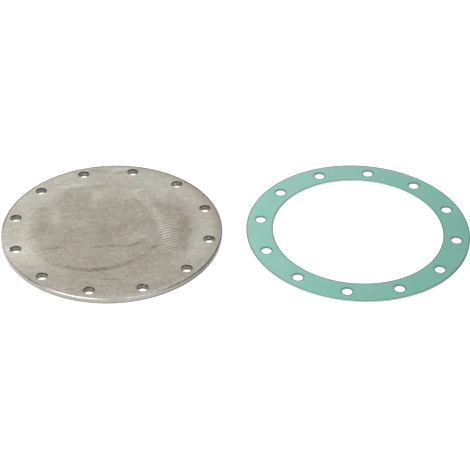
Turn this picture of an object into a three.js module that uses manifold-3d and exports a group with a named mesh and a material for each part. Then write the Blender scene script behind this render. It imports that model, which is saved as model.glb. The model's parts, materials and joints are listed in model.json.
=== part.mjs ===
// Blind flange with its gasket: a round cover plate, drilled round its rim, and the loose flat
// ring gasket cut to the same bolt circle. They lie side by side on one flat surface.
// Millimetres, +Z up. The origin is the centre of the plate's underside.
import * as THREE from "three";
import { mergeVertices, toCreasedNormals } from "three/addons/utils/BufferGeometryUtils.js";
import Module from "manifold-3d";

const wasm = await Module();
wasm.setup();

// Bolt pattern, shared by the plate and the gasket.
const BOLT_CIRCLE_DIAMETER = 260;
const BOLT_COUNT = 12;
const FIRST_BOLT_ANGLE = THREE.MathUtils.degToRad(19.1);
const BOLT_DIAMETER = 12;

// Cover plate.
const PLATE_THICKNESS = 8;
const PLATE_RIM_MARGIN = 15; // bolt circle to the outer edge
const PLATE_BOLT_CLEARANCE = 2; // on the diameter
const PLATE_EDGE_CHAMFER = 1;
const PLATE_HOLE_CHAMFER = 0.5;

// Ring gasket.
const GASKET_THICKNESS = 2;
const GASKET_RIM_MARGIN = 17.5; // bolt circle to the outer edge
const GASKET_SEAL_MARGIN = 17.5; // bolt circle to the inner edge
const GASKET_BOLT_CLEARANCE = 2; // on the diameter

// Bare surface between the two pieces, edge to edge.
const SIDE_GAP = 32;

// Facets of the round faces, and how far a cutter passes its work.
const RIM_SEGMENTS = 144;
const HOLE_SEGMENTS = 32;
const CUTTER_OVERRUN = 1;

const BOLT_CIRCLE_RADIUS = BOLT_CIRCLE_DIAMETER / 2;
const PLATE_RADIUS = BOLT_CIRCLE_RADIUS + PLATE_RIM_MARGIN;
const GASKET_RADIUS = BOLT_CIRCLE_RADIUS + GASKET_RIM_MARGIN;
const GASKET_INNER_RADIUS = BOLT_CIRCLE_RADIUS - GASKET_SEAL_MARGIN;
const GASKET_CENTRE_X = PLATE_RADIUS + SIDE_GAP + GASKET_RADIUS;

// A solid of revolution about Z. The profile is a list of [radius, height] points.
function turned(profile, segments) {
  const points = profile.map(([radius, height]) => new THREE.Vector2(radius, height));
  const geometry = new THREE.LatheGeometry(points, segments).rotateX(Math.PI / 2);
  geometry.deleteAttribute("normal");
  geometry.deleteAttribute("uv");
  const merged = mergeVertices(geometry);
  return new wasm.Manifold(
    new wasm.Mesh({
      numProp: 3,
      vertProperties: merged.getAttribute("position").array,
      triVerts: new Uint32Array(merged.index.array),
    }),
  );
}

// A straight hole through a sheet, with a 45 degree chamfer at each mouth. It may have none.
function holeCutter(radius, chamfer, thickness) {
  const mouth = radius + chamfer;
  const profile = [
    [0, -CUTTER_OVERRUN],
    [mouth, -CUTTER_OVERRUN],
    [mouth, 0],
    [radius, chamfer],
    [radius, thickness - chamfer],
    [mouth, thickness],
    [mouth, thickness + CUTTER_OVERRUN],
    [0, thickness + CUTTER_OVERRUN],
  ];
  return turned(profile, HOLE_SEGMENTS);
}

// Drills the bolt pattern through a solid that is centred on Z.
function drillBoltPattern(solid, cutter) {
  let drilled = solid;
  for (let bolt = 0; bolt < BOLT_COUNT; bolt++) {
    const angle = FIRST_BOLT_ANGLE + (bolt * 2 * Math.PI) / BOLT_COUNT;
    const x = BOLT_CIRCLE_RADIUS * Math.cos(angle);
    const y = BOLT_CIRCLE_RADIUS * Math.sin(angle);
    drilled = drilled.subtract(cutter.translate([x, y, 0]));
  }
  return drilled;
}

// A named mesh, shaded smooth round the curves and sharp at the edges.
function meshOf(name, solid, material) {
  const { numProp, vertProperties, triVerts } = solid.getMesh();
  const geometry = new THREE.BufferGeometry();
  geometry.setAttribute("position", new THREE.BufferAttribute(vertProperties, numProp));
  geometry.setIndex(new THREE.BufferAttribute(triVerts, 1));
  const creaseAngle = Math.PI / 6;
  const mesh = new THREE.Mesh(toCreasedNormals(geometry, creaseAngle), material);
  mesh.name = name;
  return mesh;
}

// The cover plate: a flat disc with both outer edges chamfered.
function flangePlate() {
  const chamferStart = PLATE_RADIUS - PLATE_EDGE_CHAMFER;
  const disc = turned(
    [
      [0, 0],
      [chamferStart, 0],
      [PLATE_RADIUS, PLATE_EDGE_CHAMFER],
      [PLATE_RADIUS, PLATE_THICKNESS - PLATE_EDGE_CHAMFER],
      [chamferStart, PLATE_THICKNESS],
      [0, PLATE_THICKNESS],
    ],
    RIM_SEGMENTS,
  );
  const holeRadius = (BOLT_DIAMETER + PLATE_BOLT_CLEARANCE) / 2;
  const cutter = holeCutter(holeRadius, PLATE_HOLE_CHAMFER, PLATE_THICKNESS);
  const steel = new THREE.MeshStandardMaterial({ color: 0xa8a298, roughness: 0.38, metalness: 1 });
  return meshOf("flange_plate", drillBoltPattern(disc, cutter), steel);
}

// The gasket: a flat ring punched from sheet, with square edges.
function ringGasket() {
  const ring = turned(
    [
      [GASKET_INNER_RADIUS, 0],
      [GASKET_RADIUS, 0],
      [GASKET_RADIUS, GASKET_THICKNESS],
      [GASKET_INNER_RADIUS, GASKET_THICKNESS],
      [GASKET_INNER_RADIUS, 0],
    ],
    RIM_SEGMENTS,
  );
  const holeRadius = (BOLT_DIAMETER + GASKET_BOLT_CLEARANCE) / 2;
  const cutter = holeCutter(holeRadius, 0, GASKET_THICKNESS);
  const sheet = new THREE.MeshStandardMaterial({ color: 0x86c0b0, roughness: 0.9, metalness: 0 });
  const mesh = meshOf("ring_gasket", drillBoltPattern(ring, cutter), sheet);
  mesh.position.x = GASKET_CENTRE_X;
  return mesh;
}

const blindFlange = new THREE.Group();
blindFlange.add(flangePlate(), ringGasket());

export default blindFlange;
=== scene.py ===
# %% [markdown]
# # A blind flange and its gasket
# This lesson dresses a small kit of two loose pieces: a round steel cover plate that closes a
# flanged opening, and the flat ring gasket that seals it. The engineering model is already
# there, and it fixes every size. We build the fine surfaces round it: broken edges, drilled
# holes, a ground face with its handling marks, and a punched sheet that lies a little unevenly.

# %% Load the engineering model
import json
import math

import bpy
from mathutils import Matrix, Vector


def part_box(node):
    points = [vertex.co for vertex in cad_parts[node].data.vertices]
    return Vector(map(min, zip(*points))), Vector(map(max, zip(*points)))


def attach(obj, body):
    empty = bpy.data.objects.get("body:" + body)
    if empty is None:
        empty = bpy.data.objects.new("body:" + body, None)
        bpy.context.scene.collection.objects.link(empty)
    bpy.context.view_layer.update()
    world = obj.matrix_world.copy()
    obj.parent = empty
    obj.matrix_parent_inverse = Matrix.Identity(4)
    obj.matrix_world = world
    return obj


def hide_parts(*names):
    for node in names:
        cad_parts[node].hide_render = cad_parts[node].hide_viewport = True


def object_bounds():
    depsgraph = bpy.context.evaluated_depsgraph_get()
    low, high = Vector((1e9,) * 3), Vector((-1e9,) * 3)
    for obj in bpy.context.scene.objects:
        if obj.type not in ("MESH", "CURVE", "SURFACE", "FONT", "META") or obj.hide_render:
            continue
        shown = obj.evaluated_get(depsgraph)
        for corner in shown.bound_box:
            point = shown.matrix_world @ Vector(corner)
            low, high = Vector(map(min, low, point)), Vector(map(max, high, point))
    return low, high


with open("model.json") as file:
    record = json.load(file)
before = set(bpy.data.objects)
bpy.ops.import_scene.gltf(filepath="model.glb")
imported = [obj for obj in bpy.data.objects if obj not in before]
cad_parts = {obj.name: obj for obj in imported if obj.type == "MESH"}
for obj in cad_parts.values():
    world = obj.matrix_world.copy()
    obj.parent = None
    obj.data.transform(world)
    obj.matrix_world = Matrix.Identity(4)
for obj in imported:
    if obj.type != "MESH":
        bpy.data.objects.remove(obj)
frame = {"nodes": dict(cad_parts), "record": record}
cad_low, cad_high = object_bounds()
print("nodes:", sorted(frame["nodes"]))

# %% [markdown]
# ## Sizes
# Nothing is typed in that the model can tell us. A node's box gives its outside size. The
# record lists every bolt hole as a small box, whose middle is the hole's axis. The vertex
# nearest to such an axis gives the hole's radius, and the gasket's vertex nearest to its own
# axis gives the radius of its opening. Blender measures in metres, so a size of our own is
# written as so many times MM.

# %% Read the sizes
MM = 0.001
plate_low, plate_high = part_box("flange_plate")
gasket_low, gasket_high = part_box("ring_gasket")
plate_axis = (plate_low + plate_high) / 2
gasket_axis = (gasket_low + gasket_high) / 2
plate_radius = (plate_high.x - plate_low.x) / 2
gasket_radius = (gasket_high.x - gasket_low.x) / 2
plate_thickness = plate_high.z - plate_low.z
gasket_thickness = gasket_high.z - gasket_low.z


def hole_axes(prefix):
    """The middle of each opening whose name starts with prefix, on the surface at z = 0."""
    openings = frame["record"]["physics"]["openings"]
    boxes = [o["box_m"] for o in openings if o["name"].startswith(prefix)]
    return [Vector(((low[0] + high[0]) / 2, (low[1] + high[1]) / 2, 0)) for low, high in boxes]


def nearest_vertex(node, axis):
    """How far the closest vertex of a node is from an upright axis."""
    return min((v.co.xy - axis.xy).length for v in frame["nodes"][node].data.vertices)


plate_holes = hole_axes("plate_bolt_hole")
gasket_holes = hole_axes("gasket_bolt_hole")
bore_radius = nearest_vertex("flange_plate", plate_holes[0])
punch_radius = nearest_vertex("ring_gasket", gasket_holes[0])
opening_radius = nearest_vertex("ring_gasket", gasket_axis)
bolt_circle_radius = (plate_holes[0].xy - plate_axis.xy).length
first_hole_angle = math.atan2(plate_holes[0].y, plate_holes[0].x)
print(f"plate {2 * plate_radius / MM:.1f} mm across, {plate_thickness / MM:.1f} mm thick")
print(f"{len(plate_holes)} holes, {2 * bore_radius / MM:.1f} mm, on {2 * bolt_circle_radius / MM:.1f} mm")
print(f"gasket {2 * gasket_radius / MM:.1f} mm outside, {2 * opening_radius / MM:.1f} mm inside")

# %% [markdown]
# ## The stage
# Catalogue pieces are often laid on a light table: a pale sheet that is lit from above and
# glows by itself. It swallows shadows, and it shows through the bolt holes as clean white. The
# table runs past the edges of the view on every side, so it is the backdrop too.

# %% Light table
TABLE_SIZE = 12
TABLE_GAP = 0.2 * MM  # keeps the table just under the pieces
TABLE_GREY = (0.6, 0.6, 0.6, 1)
TABLE_GLOW = 0.75

bpy.ops.object.select_all(action="DESELECT")
bpy.ops.mesh.primitive_plane_add(size=TABLE_SIZE, location=(plate_axis.x, plate_axis.y, -TABLE_GAP))
table = bpy.context.object
table.name = "light_table"
table_sheet = bpy.data.materials.new("table_sheet")
table_sheet.use_nodes = True
table_shader = table_sheet.node_tree.nodes["Principled BSDF"]
table_shader.inputs["Base Color"].default_value = TABLE_GREY
table_shader.inputs["Roughness"].default_value = 0.9
table_shader.inputs["Specular IOR Level"].default_value = 0.1
table_shader.inputs["Emission Color"].default_value = (1, 1, 1, 1)
table_shader.inputs["Emission Strength"].default_value = TABLE_GLOW
table.data.materials.append(table_sheet)
print("light table", TABLE_SIZE, "m")

# %% [markdown]
# ## The light
# A satin steel face shows mostly what stands opposite it. The rest of the room is dimmer, which
# lets the turned edge draw itself in grey. Two soft panels hang in front: a broad one on the
# left, which makes the long bright line on the chamfer, and a small one on the right. A third
# hangs behind on the left, so that both pieces grow a little darker from the back left corner
# to the front right.

# %% Sky
ROOM_LIGHT = 0.36
BACK_LIGHT = 0.85
BRIGHTEST_PART = (0, 0.85, 0.53)  # the direction of the brightest part of the sky
DIM_BELOW = 0.15  # how far a direction agrees with that one before it starts to brighten

sky = bpy.data.worlds.new("studio_sky")
sky.use_nodes = True
sky_nodes = sky.node_tree.nodes
sky_links = sky.node_tree.links
direction = sky_nodes.new("ShaderNodeTexCoord")
towards_back = sky_nodes.new("ShaderNodeVectorMath")
towards_back.operation = "DOT_PRODUCT"
towards_back.inputs[1].default_value = BRIGHTEST_PART
brightness = sky_nodes.new("ShaderNodeMapRange")
brightness.inputs["From Min"].default_value = DIM_BELOW
brightness.inputs["From Max"].default_value = 1.0
brightness.inputs["To Min"].default_value = ROOM_LIGHT
brightness.inputs["To Max"].default_value = BACK_LIGHT
sky_links.new(direction.outputs["Generated"], towards_back.inputs[0])
sky_links.new(towards_back.outputs["Value"], brightness.inputs[0])
sky_links.new(brightness.outputs[0], sky_nodes["Background"].inputs["Strength"])
sky_nodes["Background"].inputs["Color"].default_value = (1, 1, 1, 1)
bpy.context.scene.world = sky
bpy.context.scene.view_settings.view_transform = "Standard"
print("sky", ROOM_LIGHT, "to", BACK_LIGHT)

# %% Soft panels
def soft_panel(name, towards, distance, size, power):
    """A square light that hangs in a direction from the plate's middle, and faces it."""
    light = bpy.data.lights.new(name, "AREA")
    light.shape = "SQUARE"
    light.size = size
    light.energy = power
    panel = bpy.data.objects.new(name, light)
    bpy.context.scene.collection.objects.link(panel)
    panel.location = plate_axis + Vector(towards).normalized() * distance
    panel.rotation_euler = Vector(towards).to_track_quat("Z", "Y").to_euler()
    return panel


key_panel = soft_panel("key_panel", (-0.42, -0.45, 0.74), distance=1.2, size=0.85, power=8)
edge_panel = soft_panel("edge_panel", (0.31, -0.55, 0.77), distance=1.2, size=0.28, power=0.8)
back_panel = soft_panel("back_panel", (-0.55, 0.60, 0.58), distance=1.3, size=0.8, power=1.8)
print("panels:", key_panel.name, edge_panel.name, back_panel.name)

# %% [markdown]
# ## The camera
# A long lens keeps the two round pieces close to plain ellipses.

# %% Camera
CAMERA_ELEVATION = math.radians(37.55)
CAMERA_TURN = math.radians(-1.9)
CAMERA_ROLL = math.radians(0.61)
CAMERA_DISTANCE = 2.163
FOCAL_LENGTH = 125.77  # millimetres, like the sensor's width
SENSOR_WIDTH = 36
VIEW_DEPTH = 60
AIM_SHIFT = (-1.6 * MM, -6.1 * MM)

kit_middle = (cad_low.xy + cad_high.xy) / 2
aim = (kit_middle + Vector(AIM_SHIFT)).to_3d()
along_floor = math.cos(CAMERA_ELEVATION)
towards_camera = Vector((
    math.sin(CAMERA_TURN) * along_floor,
    -math.cos(CAMERA_TURN) * along_floor,
    math.sin(CAMERA_ELEVATION),
))
lens = bpy.data.cameras.new("camera")
lens.lens = FOCAL_LENGTH
lens.sensor_width = SENSOR_WIDTH
lens.clip_end = VIEW_DEPTH
camera = bpy.data.objects.new("camera", lens)
bpy.context.scene.collection.objects.link(camera)
camera.location = aim + towards_camera * CAMERA_DISTANCE
upright = (-towards_camera).to_track_quat("-Z", "Y").to_matrix()
camera.rotation_euler = (upright @ Matrix.Rotation(CAMERA_ROLL, 3, "Z")).to_euler()
bpy.context.scene.camera = camera
print("camera at", tuple(round(c, 3) for c in camera.location))

# %% [markdown]
# ## Working by hand, in code
# An operator acts on whatever is selected, so each step starts by selecting one object and
# then just the faces or edges that the step is about. Two helpers do that: `pick` picks an
# object, and `edit` opens it for editing with the elements that pass a test. Two more close a
# step: `done` puts the object's place into its mesh, so that the object itself sits at the
# origin, and `apply_modifier` adds a modifier and makes its result the mesh.

# %% Selection helpers
def pick(piece):
    """Makes one object the only selected one, and the active one."""
    bpy.ops.object.select_all(action="DESELECT")
    piece.select_set(True)
    bpy.context.view_layer.objects.active = piece


def edit(piece, kind, wanted):
    """Opens a piece for editing with only those faces or edges selected that wanted() accepts."""
    pick(piece)
    bpy.ops.object.mode_set(mode="EDIT")
    bpy.ops.mesh.select_mode(type=kind)
    bpy.ops.mesh.select_all(action="DESELECT")
    bpy.ops.object.mode_set(mode="OBJECT")
    mesh = piece.data
    count = 0
    for element in mesh.polygons if kind == "FACE" else mesh.edges:
        element.select = wanted(mesh, element)
        count += element.select
    bpy.ops.object.mode_set(mode="EDIT")
    return count


def everything(mesh, element):
    """Accepts every face or edge."""
    return True


def done(piece, name):
    """Leaves edit mode and puts the object's place into its mesh."""
    bpy.ops.object.mode_set(mode="OBJECT")
    pick(piece)
    bpy.ops.object.transform_apply(location=True, rotation=True, scale=True)
    piece.name = name
    piece.data.name = name


def apply_modifier(piece, kind, **settings):
    """Adds a modifier, sets it and applies it."""
    pick(piece)
    modifier = piece.modifiers.new(kind.lower(), kind)
    for key, value in settings.items():
        setattr(modifier, key, value)
    bpy.ops.object.modifier_apply(modifier=modifier.name)


print("helpers ready")

# %% [markdown]
# ## The plate's blank
# The real plate is cut from rolled plate, turned round and given a small 45 degree chamfer, so
# that nobody cuts a hand on it. We do the same: a cylinder at its true size, then one bevel
# along its two rim circles. A bevel of one segment is a chamfer.

# %% Turn the blank
RIM_POINTS = 288
RIM_CHAMFER = 1 * MM
CLOSE = 0.05 * MM  # two lengths this near to each other count as the same

bpy.ops.mesh.primitive_cylinder_add(
    vertices=RIM_POINTS, radius=plate_radius, depth=plate_thickness, location=plate_axis
)
plate = bpy.context.object
done(plate, "cover_plate")


def on_rim_circle(mesh, edge):
    """True for an edge of one of the two circles where a flat face meets the wall."""
    a, b = (mesh.vertices[i].co for i in edge.vertices)
    return abs(a.z - b.z) < CLOSE


circles = edit(plate, "EDGE", on_rim_circle)
bpy.ops.mesh.bevel(offset=RIM_CHAMFER, segments=1, affect="EDGES", clamp_overlap=False)
bpy.ops.object.mode_set(mode="OBJECT")
print("chamfered", circles, "rim edges, faces now", len(plate.data.polygons))

# %% [markdown]
# ## The drill
# Every hole is the same, so we model one drill and copy it. It is a cylinder as wide as the
# bore, cut round with bisect where the sheet begins and ends, and again a little further in.
# What lies outside the sheet is then scaled up, so the drill widens over that little way and
# leaves the small break that a countersink leaves at each mouth.

# %% Model the drill
DRILL_POINTS = 64
DRILL_OVERRUN = 2 * MM
MOUTH_BREAK = 0.5 * MM


def countersunk_drill(name, radius, thickness, mouth):
    """An upright drill at the origin for a sheet that lies on z = 0."""
    bpy.ops.object.select_all(action="DESELECT")
    length = thickness + 2 * DRILL_OVERRUN
    bpy.ops.mesh.primitive_cylinder_add(
        vertices=DRILL_POINTS, radius=radius, depth=length, location=(0, 0, thickness / 2)
    )
    drill = bpy.context.object
    done(drill, name)
    for height in (0, mouth, thickness - mouth, thickness):
        edit(drill, "FACE", everything)
        bpy.ops.mesh.bisect(plane_co=(0, 0, height), plane_no=(0, 0, 1))
        bpy.ops.object.mode_set(mode="OBJECT")
    widen = (radius + mouth) / radius
    for beyond in (lambda z: z > thickness - CLOSE, lambda z: z < CLOSE):
        edit(drill, "EDGE", lambda mesh, edge: all(beyond(mesh.vertices[i].co.z) for i in edge.vertices))
        bpy.ops.transform.resize(value=(widen, widen, 1), center_override=(0, 0, 0))
        bpy.ops.object.mode_set(mode="OBJECT")
    return drill


def drill_holes(piece, drill, axes):
    """Cuts one copy of the drill out of the piece at each axis, then throws the drills away."""
    copies = []
    for axis in axes:
        pick(drill)
        bpy.ops.object.duplicate()
        copy = bpy.context.object
        copy.location = axis
        copies.append(copy)
    bpy.ops.object.select_all(action="DESELECT")
    for copy in copies:
        copy.select_set(True)
    bpy.context.view_layer.objects.active = copies[0]
    bpy.ops.object.join()
    cutter = bpy.context.object
    apply_modifier(piece, "BOOLEAN", operation="DIFFERENCE", solver="EXACT", object=cutter)
    bpy.data.objects.remove(cutter)
    bpy.data.objects.remove(drill)
    return len(copies)


drill = countersunk_drill("bolt_hole_drill", bore_radius, plate_thickness, MOUTH_BREAK)
print("drill has", len(drill.data.polygons), "faces")
print("drilled", drill_holes(plate, drill, plate_holes), "holes")

# %% [markdown]
# ## Soft edges
# No real edge is perfectly sharp, and it is the tiny rounding that catches the light. A bevel
# modifier limited by angle rounds every edge of the chamfers and bores by about a tenth of a
# millimetre. The flat faces stay flat shaded, because one large face should not try to bend
# its light towards the rounded edge round it.

# %% Round the edges
EDGE_ROUNDING = 0.12 * MM
ROUNDING_STEPS = 2
SHARP_ANGLE = math.radians(28)
SMOOTH_ANGLE = math.radians(40)
FLAT_RISE = 0.9999  # the normal of a flat face rises or falls by more than this


def is_flat(face):
    """True for a face that lies level, on top or underneath."""
    return abs(face.normal.z) > FLAT_RISE


def soften(piece, width):
    """Rounds every sharp edge, then shades the curves smooth and keeps the corners crisp."""
    apply_modifier(
        piece, "BEVEL", width=width, segments=ROUNDING_STEPS, limit_method="ANGLE",
        angle_limit=SHARP_ANGLE, use_clamp_overlap=True,
    )
    pick(piece)
    bpy.ops.object.shade_smooth_by_angle(angle=SMOOTH_ANGLE)


soften(plate, EDGE_ROUNDING)
for face in plate.data.polygons:
    if is_flat(face):
        face.use_smooth = False
print("plate faces:", len(plate.data.polygons))

# %% [markdown]
# ## The gasket's sheet
# The gasket is punched from 2 mm sheet. We start from a bare circle and step it inwards, one
# ring of faces at a time, which gives the sheet enough faces to bend. Extruding the flat ring
# upwards then gives it its thickness, and the same kind of drill, with hardly any countersink,
# does the work of the hole punch.

# %% Cut the ring
RING_POINTS = 360
RING_STEPS = 12
PUNCHED_MOUTH = 0.02 * MM  # next to nothing: a punch leaves no countersink
CUT_ROUNDING = 0.15 * MM

bpy.ops.object.select_all(action="DESELECT")
bpy.ops.mesh.primitive_circle_add(
    vertices=RING_POINTS, radius=gasket_radius, fill_type="NOTHING",
    location=(gasket_axis.x, gasket_axis.y, gasket_low.z),
)
gasket = bpy.context.object
edit(gasket, "EDGE", everything)
step = (gasket_radius - opening_radius) / RING_STEPS
for ring in range(RING_STEPS):
    outer = gasket_radius - ring * step
    shrink = (outer - step) / outer
    bpy.ops.mesh.extrude_edges_move()
    bpy.ops.transform.resize(value=(shrink, shrink, 1), center_override=gasket.location)
bpy.ops.mesh.select_all(action="SELECT")
bpy.ops.mesh.extrude_region_move(TRANSFORM_OT_translate={"value": (0, 0, gasket_thickness)})
bpy.ops.mesh.select_all(action="SELECT")
bpy.ops.mesh.normals_make_consistent(inside=False)
done(gasket, "gasket_ring")
punch = countersunk_drill("hole_punch", punch_radius, gasket_thickness, PUNCHED_MOUTH)
print("punched", drill_holes(gasket, punch, gasket_holes), "holes")
soften(gasket, CUT_ROUNDING)
print("gasket faces:", len(gasket.data.polygons))

# %% [markdown]
# ## A sheet is never quite flat
# Gasket sheet keeps a trace of the roll it came from. A displace modifier with a cloud much
# larger than the ring's width lifts it by a few tenths of a millimetre here and there. The top
# and the underside move together, so the sheet keeps its thickness, and it is set down again
# so that its lowest point touches the floor.

# %% Let the sheet undulate
SHEET_LIFT = 0.9 * MM
CLOUD_SIZE = 160 * MM

unevenness = bpy.data.textures.new("sheet_unevenness", "CLOUDS")
unevenness.noise_scale = CLOUD_SIZE
unevenness.noise_depth = 0
apply_modifier(
    gasket, "DISPLACE", texture=unevenness, texture_coords="LOCAL", direction="Z",
    strength=SHEET_LIFT, mid_level=0.5,
)
lowest = min(v.co.z for v in gasket.data.vertices)
edit(gasket, "FACE", everything)
bpy.ops.transform.translate(value=(0, 0, gasket_low.z - lowest))
bpy.ops.object.mode_set(mode="OBJECT")
highest = max(v.co.z for v in gasket.data.vertices)
print(f"the sheet's top reaches {highest / MM:.2f} mm")

# %% [markdown]
# ## Building a finish
# A finish is a net of small nodes. The class below keeps the net in one place and gives each
# kind of node a short name, so that the recipes that follow read like recipes. Each method
# takes plain numbers or the output of another method.

# %% A workbench for finishes
class Finish:
    """One material under construction, with short names for the nodes it is made of."""

    def __init__(self, name, metallic):
        self.material = bpy.data.materials.new(name)
        self.material.use_nodes = True
        self.tree = self.material.node_tree
        self.shader = self.tree.nodes["Principled BSDF"]
        self.shader.inputs["Metallic"].default_value = metallic
        self.place = self.add("ShaderNodeTexCoord").outputs["Object"]

    def add(self, kind, **settings):
        node = self.tree.nodes.new(kind)
        for key, value in settings.items():
            setattr(node, key, value)
        return node

    def put(self, value, socket):
        """Links an output to a socket, or sets the socket to a plain value."""
        if isinstance(value, bpy.types.NodeSocket):
            self.tree.links.new(value, socket)
        else:
            socket.default_value = value

    def set(self, **sockets):
        names = {"colour": "Base Color", "roughness": "Roughness", "specular": "Specular IOR Level"}
        for key, value in sockets.items():
            self.put(value, self.shader.inputs[names[key]])

    def maths(self, operation, a, b=0.0):
        node = self.add("ShaderNodeMath", operation=operation)
        self.put(a, node.inputs[0])
        self.put(b, node.inputs[1])
        return node.outputs[0]

    def times(self, a, b):
        return self.maths("MULTIPLY", a, b)

    def plus(self, a, b):
        return self.maths("ADD", a, b)

    def hypotenuse(self, a, b):
        return self.maths("SQRT", self.plus(self.times(a, a), self.times(b, b)))

    def mix_in(self, start, *parts):
        """start plus each part times its weight."""
        total = start
        for part, weight in parts:
            total = self.plus(total, self.times(part, weight))
        return total

    def rise(self, value, low, high, to_low=0.0, to_high=1.0):
        """A smooth step: to_low up to low, to_high from high on."""
        node = self.add("ShaderNodeMapRange", interpolation_type="SMOOTHSTEP")
        for number, socket in zip((value, low, high, to_low, to_high), node.inputs):
            self.put(number, socket)
        return node.outputs[0]

    def away(self, value, centre):
        """How far the value is from centre, to either side."""
        return self.maths("ABSOLUTE", self.plus(value, -centre))

    def ridge(self, value, centre, half_width, flat=0.0):
        """1 within flat of centre, 0 where the value is half_width away or more."""
        return self.rise(self.away(value, centre), flat, half_width, 1.0, 0.0)


print("workbench: numbers")

# %% [markdown]
# ## Places and patterns
# Every pattern starts from a place on the piece. `laid` gives it a frame of its own: a middle,
# a turn and a size in each direction, so a noise laid 60 mm by 2 mm is a streak. All noises
# here are moved to swing evenly about zero, so that adding one never makes a whole piece
# brighter. `around` and `side_of` are for what follows the rim, `patch` and `arc` for marks.

# %% Places and noises
def laid(finish, x=0.0, y=0.0, size=(1, 1, 1), turn=0.0, place=None):
    """The place on the piece, measured in a frame at x, y, turned, and in units of size."""
    node = finish.add("ShaderNodeMapping", vector_type="TEXTURE")
    finish.put(place or finish.place, node.inputs["Vector"])
    node.inputs["Location"].default_value = (x, y, 0)
    node.inputs["Rotation"].default_value = (0, 0, math.radians(turn))
    node.inputs["Scale"].default_value = size
    return node.outputs[0]


def swing(finish, size, detail, roughness=0.5, curl=0.0):
    """Noise between about -0.5 and 0.5, in cells of the given size in metres."""
    node = finish.add("ShaderNodeTexNoise")
    size = size if isinstance(size, tuple) else (size, size, size)
    finish.put(laid(finish, size=size), node.inputs["Vector"])
    node.inputs["Scale"].default_value = 1.0
    node.inputs["Detail"].default_value = detail
    node.inputs["Roughness"].default_value = roughness
    node.inputs["Distortion"].default_value = curl
    return finish.plus(node.outputs["Fac"], -0.5)


def drifted(finish, size, amount):
    """The place on the piece, pushed about by noise, which makes clean outlines ragged."""
    node = finish.add("ShaderNodeTexNoise")
    finish.put(laid(finish, size=(size, size, size)), node.inputs["Vector"])
    node.inputs["Scale"].default_value = 1.0
    push = finish.add("ShaderNodeVectorMath", operation="MULTIPLY_ADD")
    finish.put(node.outputs["Color"], push.inputs[0])
    push.inputs[1].default_value = (amount, amount, 0)
    finish.put(laid(finish, amount / 2, amount / 2), push.inputs[2])
    return push.outputs[0]


def around(finish, x, y, place=None):
    """(distance, angle) of the place on the piece from the upright axis through x, y."""
    parts = finish.add("ShaderNodeSeparateXYZ")
    finish.put(laid(finish, x, y, place=place), parts.inputs[0])
    across, along = parts.outputs[0], parts.outputs[1]
    return finish.hypotenuse(across, along), finish.maths("ARCTAN2", along, across)


def side_of(finish, angle, middle, reach, flat=0.0):
    """1 within flat degrees of one side of a round piece, fading to 0 at reach degrees from it."""
    return finish.ridge(angle, math.radians(middle), math.radians(reach), math.radians(flat))


def height_of(finish):
    """The height of the place on the piece."""
    parts = finish.add("ShaderNodeSeparateXYZ")
    finish.put(finish.place, parts.inputs[0])
    return parts.outputs[2]


print("workbench: places and noises")

# %% Marks
PATCH_CORE = 0.25  # the share of a patch's size that is at full strength


def patch(finish, x, y, half_length, half_width, turn, place):
    """A soft oval, given in millimetres and degrees."""
    own = laid(finish, x * MM, y * MM, (half_length * MM, half_width * MM, 1), turn, place)
    from_middle = finish.add("ShaderNodeVectorMath", operation="LENGTH")
    finish.put(own, from_middle.inputs[0])
    return finish.rise(from_middle.outputs["Value"], PATCH_CORE, 1.0, 1.0, 0.0)


def arc(finish, x, y, radius, half_width, from_angle, to_angle, place):
    """A mark along part of a circle, in millimetres and degrees, fading at both ends."""
    distance, angle = around(finish, x * MM, y * MM, place)
    window = side_of(finish, angle, (from_angle + to_angle) / 2, (to_angle - from_angle) / 2)
    return finish.times(finish.ridge(distance, radius * MM, half_width * MM), window)


def marks(finish, kind, table, place):
    """The patches or arcs of a table, each with what it adds, ready to be mixed in."""
    return [(kind(finish, *shape, place), weight) for *shape, weight in table]


print("workbench: marks")

# %% Colours and relief
def shades(finish, value, *stops):
    """A colour ramp. Each stop is (position, colour)."""
    node = finish.add("ShaderNodeValToRGB")
    ramp = node.color_ramp
    while len(ramp.elements) < len(stops):
        ramp.elements.new(0.5)
    for element, (position, colour) in zip(ramp.elements, stops):
        element.position = position
        element.color = (*colour, 1)
    finish.put(value, node.inputs[0])
    return node.outputs["Color"]


def blend(finish, amount, a, b, mode="MIX"):
    """Colour a where amount is 0, colour b where it is 1."""
    node = finish.add("ShaderNodeMix", data_type="RGBA", blend_type=mode)
    finish.put(amount, node.inputs[0])
    for colour, socket in ((a, node.inputs[6]), (b, node.inputs[7])):
        finish.put((*colour, 1) if isinstance(colour, tuple) else colour, socket)
    return node.outputs[2]


def bump(finish, height, distance, strength):
    """Tilts the surface the way a relief of the given depth would."""
    node = finish.add("ShaderNodeBump")
    node.inputs["Strength"].default_value = strength
    node.inputs["Distance"].default_value = distance
    finish.put(height, node.inputs["Height"])
    finish.put(node.outputs["Normal"], finish.shader.inputs["Normal"])


print("workbench: colours and relief")

# %% [markdown]
# ## The ground face
# The plate's face has been ground and wiped, not polished. As a whole it is a warm grey cloud with a
# paler band towards the rim, fine streaks across it, a few curved marks where it was turned and rubbed,
# and a broad pale arc on the right, a painted highlight where the turned marks catch the light. Each of
# those is one small pattern. They are added up into one number, the tone, and a ramp turns the tone into
# the colour of the steel. The marks are listed in tables: where each lies, how long and wide it is, how
# it is turned and what it adds.

# %% Tones of the steel
STEEL_TONES = (
    (0.0, (0.18, 0.145, 0.11)),
    (0.3, (0.335, 0.297, 0.254)),
    (0.45, (0.418, 0.373, 0.319)),
    (0.6, (0.500, 0.458, 0.397)),
    (0.75, (0.587, 0.564, 0.498)),
    (1.0, (0.80, 0.79, 0.73)),
)
RESTING_TONE = 0.53
ROSY_TINT = (0.995, 0.98, 0.965)
GREENISH_TINT = (0.972, 0.998, 0.985)
print("steel tones:", len(STEEL_TONES))

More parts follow.
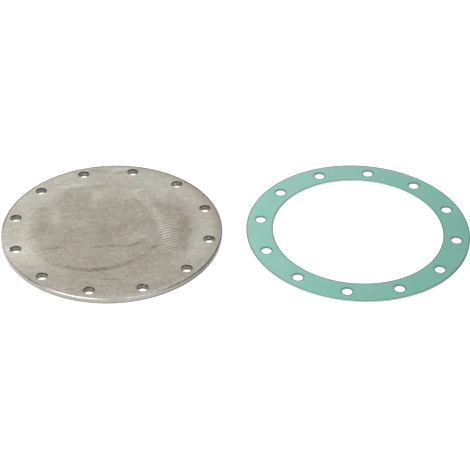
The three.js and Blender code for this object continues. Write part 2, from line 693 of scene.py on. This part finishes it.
# %% Where the face was wiped
# Middle x and y, half length and half width in millimetres, turn in degrees, what it adds.
WIPED_PATCHES = (
    (-110, -48, 20, 34, 0, 0.03),
    (-75, 26, 12, 34, 0, 0.13),
    (-75, 66, 34, 20, 35, 0.05),
    (-22, 68, 11, 30, 0, 0.10),
    (10, 84, 96, 32, 0, 0.14),
    (60, 70, 26, 20, -40, 0.12),
    (34, -22, 26, 9, 28, 0.09),
    (10, 134, 24, 5, 0, 0.11),
    (-63, 70, 6, 26, 0, -0.08),
    (-97, 40, 14, 30, 0, -0.07),
    (-92, 4, 26, 24, 0, -0.09),
    (-130, 12, 18, 60, 0, -0.07),
    (38, 54, 26, 6, -62, -0.09),
    (94, -10, 12, 62, 3, -0.13),
    (0, -12, 34, 28, 0, -0.06),
    (-26, 129, 36, 9, 10, -0.14),
    (12, 124, 16, 5, 0, -0.13),
)


def wiped_clouds(finish):
    """Broad pale and dark areas. All share one ragged place, so they flow into each other."""
    ragged = drifted(finish, 22 * MM, 20 * MM)
    distance = around(finish, plate_axis.x, plate_axis.y, ragged)[0]
    depth = finish.add("ShaderNodeSeparateXYZ")
    finish.put(ragged, depth.inputs[0])
    not_the_front = finish.rise(depth.outputs[1], -105 * MM, -50 * MM, 0.05, 1.0)
    rim_band = finish.times(finish.rise(distance, 92 * MM, 118 * MM), not_the_front)
    return finish.mix_in(0.0, (rim_band, 0.20), *marks(finish, patch, WIPED_PATCHES, ragged))


def wiped_corner(finish):
    """A pale corner on the left that was wiped clean up to a fairly straight border."""
    ragged = drifted(finish, 12 * MM, 4 * MM)
    own = finish.add("ShaderNodeSeparateXYZ")
    finish.put(laid(finish, -105 * MM, -23 * MM, turn=20, place=ragged), own.inputs[0])
    along, across = own.outputs[0], own.outputs[1]
    below = finish.rise(across, -1.5 * MM, 1.5 * MM, 1.0, 0.0)
    fading = finish.rise(across, -70 * MM, -12 * MM)
    beside = finish.rise(along, 4 * MM, 12 * MM, 1.0, 0.0)
    return finish.times(finish.times(below, fading), beside)


print("wiped patches:", len(WIPED_PATCHES))

# %% Where the face was rubbed, and where a highlight is painted
# Patches as above. Arcs: middle x and y, radius, half width, first and last angle, what it adds.
DARK_ARCS = (
    (-23, 5.7, 91.7, 4.0, -178, -6, 0.22),
    (-23, 5.7, 90.5, 7.0, -122, -34, 0.20),
)
DARK_RUBS = (
    (-74, -41, 22, 3.6, 4, 0.20),
    (-4, -38, 32, 3.4, 3, 0.22),
    (31, -34, 20, 3.4, 18, 0.20),
    (58, -39, 16, 4.4, 34, 0.24),
    (6, -106, 24, 3.0, 3, 0.20),
    (28, 91, 17, 3.6, 6, 0.12),
    (-30, 93, 50, 4.5, 11, 0.10),
)
PALE_RUBS = (
    (-46, 98.5, 54, 3.2, 11.8, 0.12),
    (34, 86, 13, 3.0, 32, 0.16),
)
# A painted highlight: the broad pale arc on the right stands for the light that the turned marks catch.
PAINTED_HIGHLIGHT_ARC = (-118, -48, 193, 13, -8, 56, 0.17)


def curved_marks(finish):
    """Rubbed lines, dark ones towards the front and pale ones behind, and a broad pale arc on the right
    that is a painted highlight.
    """
    ragged = drifted(finish, 20 * MM, 7 * MM)
    broken = finish.rise(swing(finish, (16 * MM, 6 * MM, 10 * MM), 3), -0.20, 0.1, 0.4, 1.0)
    dark = finish.mix_in(
        0.0,
        *marks(finish, arc, DARK_ARCS, ragged),
        *marks(finish, patch, DARK_RUBS, ragged),
    )
    pale = finish.mix_in(
        0.0,
        *marks(finish, arc, (PAINTED_HIGHLIGHT_ARC,), ragged),
        *marks(finish, patch, PALE_RUBS, ragged),
    )
    return finish.mix_in(0.0, (finish.times(dark, broken), -1.0), (pale, 1.0))


print("rubbed marks:", len(DARK_ARCS + DARK_RUBS), "dark,", len(PALE_RUBS) + 1, "pale")

# %% [markdown]
# ## Chatter
# Where a tool shakes, it leaves short ripples side by side. They lie across the end of the pale arc and
# slant up to the right. A sine of the place gives the ripples, and two windows, one along the arc and one
# across it, say where they are. The ripples are real relief in the bump, and their bright and dark
# stripes in the colour are painted highlight, like the arc they lie in.

# %% Ripples in the pale arc
RIPPLE_SPACING = 5.2 * MM
RIPPLE_SLANT = 22  # degrees from +X
RIPPLE_RADIUS = 194 * MM


def chatter_and_highlight(finish):
    """Short parallel ripples, left where the tool shook, across the end of the pale arc; in the colour
    they are painted highlight.
    """
    shaken = drifted(finish, 20 * MM, 2 * MM)
    slanted = finish.add("ShaderNodeSeparateXYZ")
    finish.put(laid(finish, turn=RIPPLE_SLANT, place=shaken), slanted.inputs[0])
    waves = finish.maths("SINE", finish.times(slanted.outputs[1], 2 * math.pi / RIPPLE_SPACING))
    x, y = PAINTED_HIGHLIGHT_ARC[:2]
    distance, angle = around(finish, x * MM, y * MM, shaken)
    along_the_arc = side_of(finish, angle, 10.5, 13.2, flat=5.7)
    across_it = finish.ridge(distance, RIPPLE_RADIUS, 13 * MM, flat=7 * MM)
    return finish.times(waves, finish.times(along_the_arc, across_it))


print(f"ripples every {RIPPLE_SPACING / MM:.1f} mm")

# %% [markdown]
# ## The face, put together
# Under the marks lies the fine structure that grinding leaves: a mottle, a grain, a speckle and
# hairlines along the direction of the grinding. It is strongest where the face was not wiped.
# Three narrow bands follow the rim: a darker one on the right, a pale one in front and a dark line right
# at the edge. A weak tint, rosy here and greenish there, lies over everything.

# %% Ground face finish
def near_rim(finish, distance, start, full):
    """0 until start millimetres inside the plate's rim, 1 from full millimetres inside it."""
    return finish.rise(distance, plate_radius - start * MM, plate_radius - full * MM)


def ground_face():
    """The warm grey, satin face of the plate."""
    finish = Finish("ground_steel_face", 1.0)
    distance, angle = around(finish, plate_axis.x, plate_axis.y)
    clouds = swing(finish, 45 * MM, 4, 0.6)
    mottle = swing(finish, (14 * MM, 8 * MM, 10 * MM), 3, 0.6, curl=1.6)
    grain = swing(finish, 4.5 * MM, 2, 0.6, curl=0.8)
    speckle = swing(finish, 2.1 * MM, 2, 0.6)
    long_streaks = swing(finish, (110 * MM, 5 * MM, 20 * MM), 3, 0.6)
    hairlines = swing(finish, (14 * MM, 1.3 * MM, 4 * MM), 3, 0.7)
    fine = finish.mix_in(0.0, (mottle, 0.44), (grain, 0.38), (speckle, 0.34), (hairlines, 0.30))
    # The chatter ripples are relief in the bump and painted highlight in the tone.
    ripples = chatter_and_highlight(finish)
    wiped = wiped_clouds(finish)
    # The face is darker towards the rim on the right.
    darker_right_band = finish.times(near_rim(finish, distance, 16, 5), side_of(finish, angle, 15, 90))
    front_rim = finish.times(near_rim(finish, distance, 9, 3), side_of(finish, angle, -72, 68))
    not_in_front = finish.mix_in(0.1, (side_of(finish, angle, 105, 114.6, flat=63), 0.9))
    edge_line = finish.times(near_rim(finish, distance, 4.2, 2.4), not_in_front)
    tone = finish.mix_in(
        RESTING_TONE,
        (wiped, 1.0),
        (curved_marks(finish), 1.0),
        (wiped_corner(finish), 0.065),
        (clouds, 0.18),
        (long_streaks, 0.12),
        (finish.times(fine, finish.rise(wiped, -0.05, 0.22, 1.15, 0.75)), 1.0),
        (ripples, 0.24),
        (darker_right_band, -0.19),
        (front_rim, 0.18),
        (edge_line, -0.38),
    )
    greener = finish.rise(swing(finish, 35 * MM, 2), -0.12, 0.14)
    tint = blend(finish, greener, ROSY_TINT, GREENISH_TINT)
    finish.set(
        colour=blend(finish, 1.0, shades(finish, tone, *STEEL_TONES), tint, "MULTIPLY"),
        roughness=finish.mix_in(0.40, (clouds, 0.10), (hairlines, 0.12), (speckle, 0.06)),
    )
    relief = finish.mix_in(0.0, (hairlines, 0.5), (grain, 0.3), (speckle, 0.3), (ripples, 0.5))
    bump(finish, relief, 0.05 * MM, 0.6)
    return finish.material


face_material = ground_face()
print(face_material.name, len(face_material.node_tree.nodes), "nodes")

# %% [markdown]
# ## The turned rim
# The wall and the chamfers are turned on a lathe, so their marks run round the plate. Noise that is
# squeezed along the height and long round the rim gives them. The chamfer was cut last and is the
# brightest, with one painted glint in front and painted shade at the left and behind. Painted shade lies
# over the right side of the wall, lighter towards its top. All round, the upper wall is painted a little
# lighter and the foot darker, and a painted shadow line runs along the foot in front on the right.

# %% Turned rim finish
RIM_TONES = (
    (0.0, (0.055, 0.05, 0.04)),
    (0.4, (0.18, 0.17, 0.148)),
    (0.7, (0.365, 0.357, 0.330)),
    (1.0, (0.63, 0.62, 0.585)),
)


def turned_rim():
    """The neutral grey of the wall and the brighter chamfer above it."""
    finish = Finish("turned_steel_rim", 1.0)
    angle = around(finish, plate_axis.x, plate_axis.y)[1]
    height = height_of(finish)
    rings = swing(finish, (50 * MM, 50 * MM, 0.9 * MM), 3, 0.6)
    spots = swing(finish, 6 * MM, 3, 0.6)
    chamfer = finish.rise(height, plate_high.z - 1.15 * RIM_CHAMFER, plate_high.z - 0.95 * RIM_CHAMFER)
    # Painted light and shade: the upper wall is lighter and the foot darker, and a painted shadow line
    # runs along the foot in front on the right.
    shoulder = finish.rise(height, 3.0 * MM, 6.5 * MM)
    foot = finish.rise(height, 1.0 * MM, 3.0 * MM, 1.0, 0.0)
    foot_line = finish.rise(height, 0.8 * MM, 2.2 * MM, 1.0, 0.0)
    foot_shadow_line = finish.times(foot_line, side_of(finish, angle, -32, 55))
    # Painted shade over the right side of the wall and its chamfer.
    right_side_shade = side_of(finish, angle, -14, 62)
    # A painted glint on the chamfer in front, and painted shade on the chamfer at the left and behind.
    glint = side_of(finish, angle, -72, 17)
    left_chamfer_shade = side_of(finish, angle, -131, 17)
    back_chamfer_shade = side_of(finish, angle, 95, 100)
    tone = finish.mix_in(
        0.68,
        (rings, 0.22),
        (spots, 0.2),
        (shoulder, 0.05),
        (chamfer, 0.12),
        (foot, -0.20),
        (foot_shadow_line, -0.46),
        (right_side_shade, -0.42),
        (finish.times(right_side_shade, chamfer), -0.40),
        (finish.times(right_side_shade, shoulder), 0.18),
        (finish.times(left_chamfer_shade, chamfer), -0.30),
        (finish.times(glint, chamfer), 0.34),
        (finish.times(back_chamfer_shade, chamfer), -0.45),
    )
    finish.set(
        colour=shades(finish, tone, *RIM_TONES),
        roughness=finish.mix_in(0.33, (rings, 0.15), (spots, 0.08)),
    )
    bump(finish, rings, 0.05 * MM, 0.6)
    return finish.material


rim_material = turned_rim()
print(rim_material.name)

# %% [markdown]
# ## The drilled bores
# A drilled wall is browner than the face: it is rough, still a little oily, and sees little but the other
# side of the hole. The mouth, where the edge was broken, and the lower end are the darkest parts; at the
# lower end the darkness is painted shade. Fine rings from the drill run round the wall.

# %% Drilled bore finish
BORE_TONES = (
    (0.0, (0.055, 0.05, 0.038)),
    (0.5, (0.27, 0.25, 0.20)),
    (1.0, (0.85, 0.83, 0.76)),
)


def drilled_bore():
    """The brown wall of a bolt hole, with lighter glints."""
    finish = Finish("drilled_steel_bore", 1.0)
    height = height_of(finish)
    rings = swing(finish, (6 * MM, 6 * MM, 0.8 * MM), 3, 0.7)
    glints = swing(finish, (2.8 * MM, 2.8 * MM, 3.5 * MM), 2, 0.6)
    mouth = finish.rise(height, plate_high.z - 1.8 * MM, plate_high.z - 0.8 * MM)
    # Painted shade: the lower end of the wall is darker.
    lower_end_shade = finish.rise(height, 0.8 * MM, 3.4 * MM, 1.0, 0.0)
    tone = finish.mix_in(0.42, (rings, 0.5), (glints, 1.4), (mouth, -0.42), (lower_end_shade, -0.38))
    finish.set(
        colour=shades(finish, tone, *BORE_TONES),
        roughness=finish.mix_in(0.36, (rings, 0.2)),
    )
    bump(finish, rings, 0.08 * MM, 0.8)
    return finish.material


bore_material = drilled_bore()
print(bore_material.name)

# %% [markdown]
# ## Three finishes on one piece
# The plate carries all three. A face that lies outside the chamfer's inner circle belongs to
# the turned rim. Of the others, the flat ones are ground and the rest belong to a bore.

# %% Put the steel finishes on the plate
def plate_finish_index(face):
    """0 for the flat faces, 1 for the rim, 2 for the bores and their broken mouths."""
    if (face.center.xy - plate_axis.xy).length > plate_radius - RIM_CHAMFER - CLOSE:
        return 1
    return 0 if is_flat(face) else 2


for material in (face_material, rim_material, bore_material):
    plate.data.materials.append(material)
for face in plate.data.polygons:
    face.material_index = plate_finish_index(face)
print("faces by finish:", [sum(f.material_index == i for f in plate.data.polygons) for i in range(3)])

# %% [markdown]
# ## The gasket sheet
# Compressed fibre sheet is matt, with a soft mottle of fibres pressed into it. It is painted a little
# lighter and greyer towards the back left, as light and sheen from that side would make it. A thin darker
# line runs along every cut. The cut wall itself is paler, except for painted shade in the bolt holes and
# on the front right of the outer edge. The distance to the nearest cut is easy to write down: two circles
# for the ring, and one circle for the bolt holes, because equal sectors can be folded onto one.

# %% Distance to the nearest cut
def distance_to_cut(finish):
    """How far the place on the gasket is from the closest punched edge."""
    distance, angle = around(finish, gasket_axis.x, gasket_axis.y)
    outer = finish.away(distance, gasket_radius)
    inner = finish.away(distance, opening_radius)
    sector = 2 * math.pi / len(gasket_holes)
    folded = finish.maths("PINGPONG", finish.plus(angle, 2 * math.pi - first_hole_angle), sector / 2)
    along = finish.plus(finish.times(distance, finish.maths("COSINE", folded)), -bolt_circle_radius)
    across = finish.times(distance, finish.maths("SINE", folded))
    hole = finish.away(finish.hypotenuse(along, across), punch_radius)
    return finish.maths("MINIMUM", finish.maths("MINIMUM", outer, inner), hole)


print(f"{len(gasket_holes)} sectors of {360 / len(gasket_holes):.0f} degrees")

# %% Sheet finish
SHEET_GREEN = (0.268, 0.625, 0.515)
SHEET_GREY = (0.350, 0.620, 0.545)
CUT_LINE = (0.13, 0.19, 0.165)
# The sheet is painted lighter and greyer towards this side, standing in for light and sheen from the back
# left.
PAINTED_LIGHT_TOWARDS = 142  # degrees from +X


def gasket_sheet():
    """The matt aqua green of the sheet, with a darker line along every cut."""
    finish = Finish("gasket_fibre_sheet", 0.0)
    mottle = swing(finish, 28 * MM, 3, 0.6)
    flecks = swing(finish, 2.5 * MM, 3, 0.7)
    fibres = swing(finish, (2.8 * MM, 1.1 * MM, 2 * MM), 3, 0.65)
    # Painted light and sheen: the sheet grows lighter and greyer towards the back left.
    across_sheet = finish.add("ShaderNodeSeparateXYZ")
    own = laid(finish, gasket_axis.x, size=(gasket_radius, 1, 1), turn=PAINTED_LIGHT_TOWARDS)
    finish.put(own, across_sheet.inputs[0])
    painted_light_slope = across_sheet.outputs[0]
    hue = finish.mix_in(0.45, (mottle, 1.6), (flecks, 0.5), (painted_light_slope, 0.30))
    colour = blend(finish, finish.rise(hue, 0.0, 1.0), SHEET_GREEN, SHEET_GREY)
    shade = finish.mix_in(0.5, (flecks, 0.6), (fibres, 0.6), (painted_light_slope, 0.55))
    shading = shades(finish, shade, (0.0, (0.8, 0.8, 0.8)), (1.0, (1.0, 1.0, 1.0)))
    colour = blend(finish, 1.0, colour, shading, "MULTIPLY")
    cut = finish.rise(distance_to_cut(finish), 0.6 * MM, 2.0 * MM, 0.9, 0.0)
    finish.set(
        colour=blend(finish, cut, colour, CUT_LINE),
        roughness=finish.mix_in(0.82, (flecks, 0.12)),
        specular=0.25,
    )
    bump(finish, finish.mix_in(0.0, (fibres, 1.0), (mottle, 0.8)), 0.06 * MM, 0.6)
    return finish.material


sheet_material = gasket_sheet()
print(sheet_material.name)

# %% Cut wall finish
CUT_WALL = (0.52, 0.66, 0.58)
CUT_WALL_PALE = (0.66, 0.80, 0.73)
CUT_WALL_SHADE = (0.17, 0.24, 0.21)
HOLE_WALL_SHADE = (0.20, 0.32, 0.28)


def gasket_cut_wall():
    """The pale, layered wall that the punch leaves, with painted shade in the holes and on the front
    right of the outer edge.
    """
    finish = Finish("gasket_cut_wall", 0.0)
    layers = swing(finish, (4 * MM, 4 * MM, 0.4 * MM), 3, 0.7)
    distance, angle = around(finish, gasket_axis.x, gasket_axis.y)
    outer = finish.rise(distance, bolt_circle_radius, gasket_radius)
    # Painted shade on the front right of the outer cut wall.
    front_right_shade = finish.times(outer, side_of(finish, angle, -25, 50))
    # Painted shade on the walls of the bolt holes.
    in_a_hole = finish.ridge(
        distance, bolt_circle_radius, punch_radius + 4 * MM, flat=punch_radius + 1 * MM
    )
    colour = blend(finish, finish.rise(layers, -0.2, 0.2), CUT_WALL, CUT_WALL_PALE)
    colour = blend(finish, in_a_hole, colour, HOLE_WALL_SHADE)
    finish.set(
        colour=blend(finish, front_right_shade, colour, CUT_WALL_SHADE),
        roughness=finish.mix_in(0.9, (layers, 0.1)),
        specular=0.2,
    )
    bump(finish, layers, 0.08 * MM, 0.7)
    return finish.material


cut_wall_material = gasket_cut_wall()
print(cut_wall_material.name)

# %% Put the gasket finishes on the ring
WALL_RISE = 0.5  # the normal of a cut wall's face rises or falls by less than this

for material in (sheet_material, cut_wall_material):
    gasket.data.materials.append(material)
for face in gasket.data.polygons:
    face.material_index = 0 if abs(face.normal.z) > WALL_RISE else 1
print("gasket finishes:", [m.name for m in gasket.data.materials])

# %% [markdown]
# ## Handing over
# Each piece takes the place of one node of the engineering model and rides on the same body. The model's
# box is printed at the end.

# %% Join the pieces to the model
for piece, body, node, slot in (
    (plate, "plate", "flange_plate", "ground_steel"),
    (gasket, "gasket", "ring_gasket", "gasket_sheet"),
):
    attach(piece, body)
    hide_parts(node)

print("model box ", [round((b - a) / MM, 2) for a, b in zip(cad_low, cad_high)])
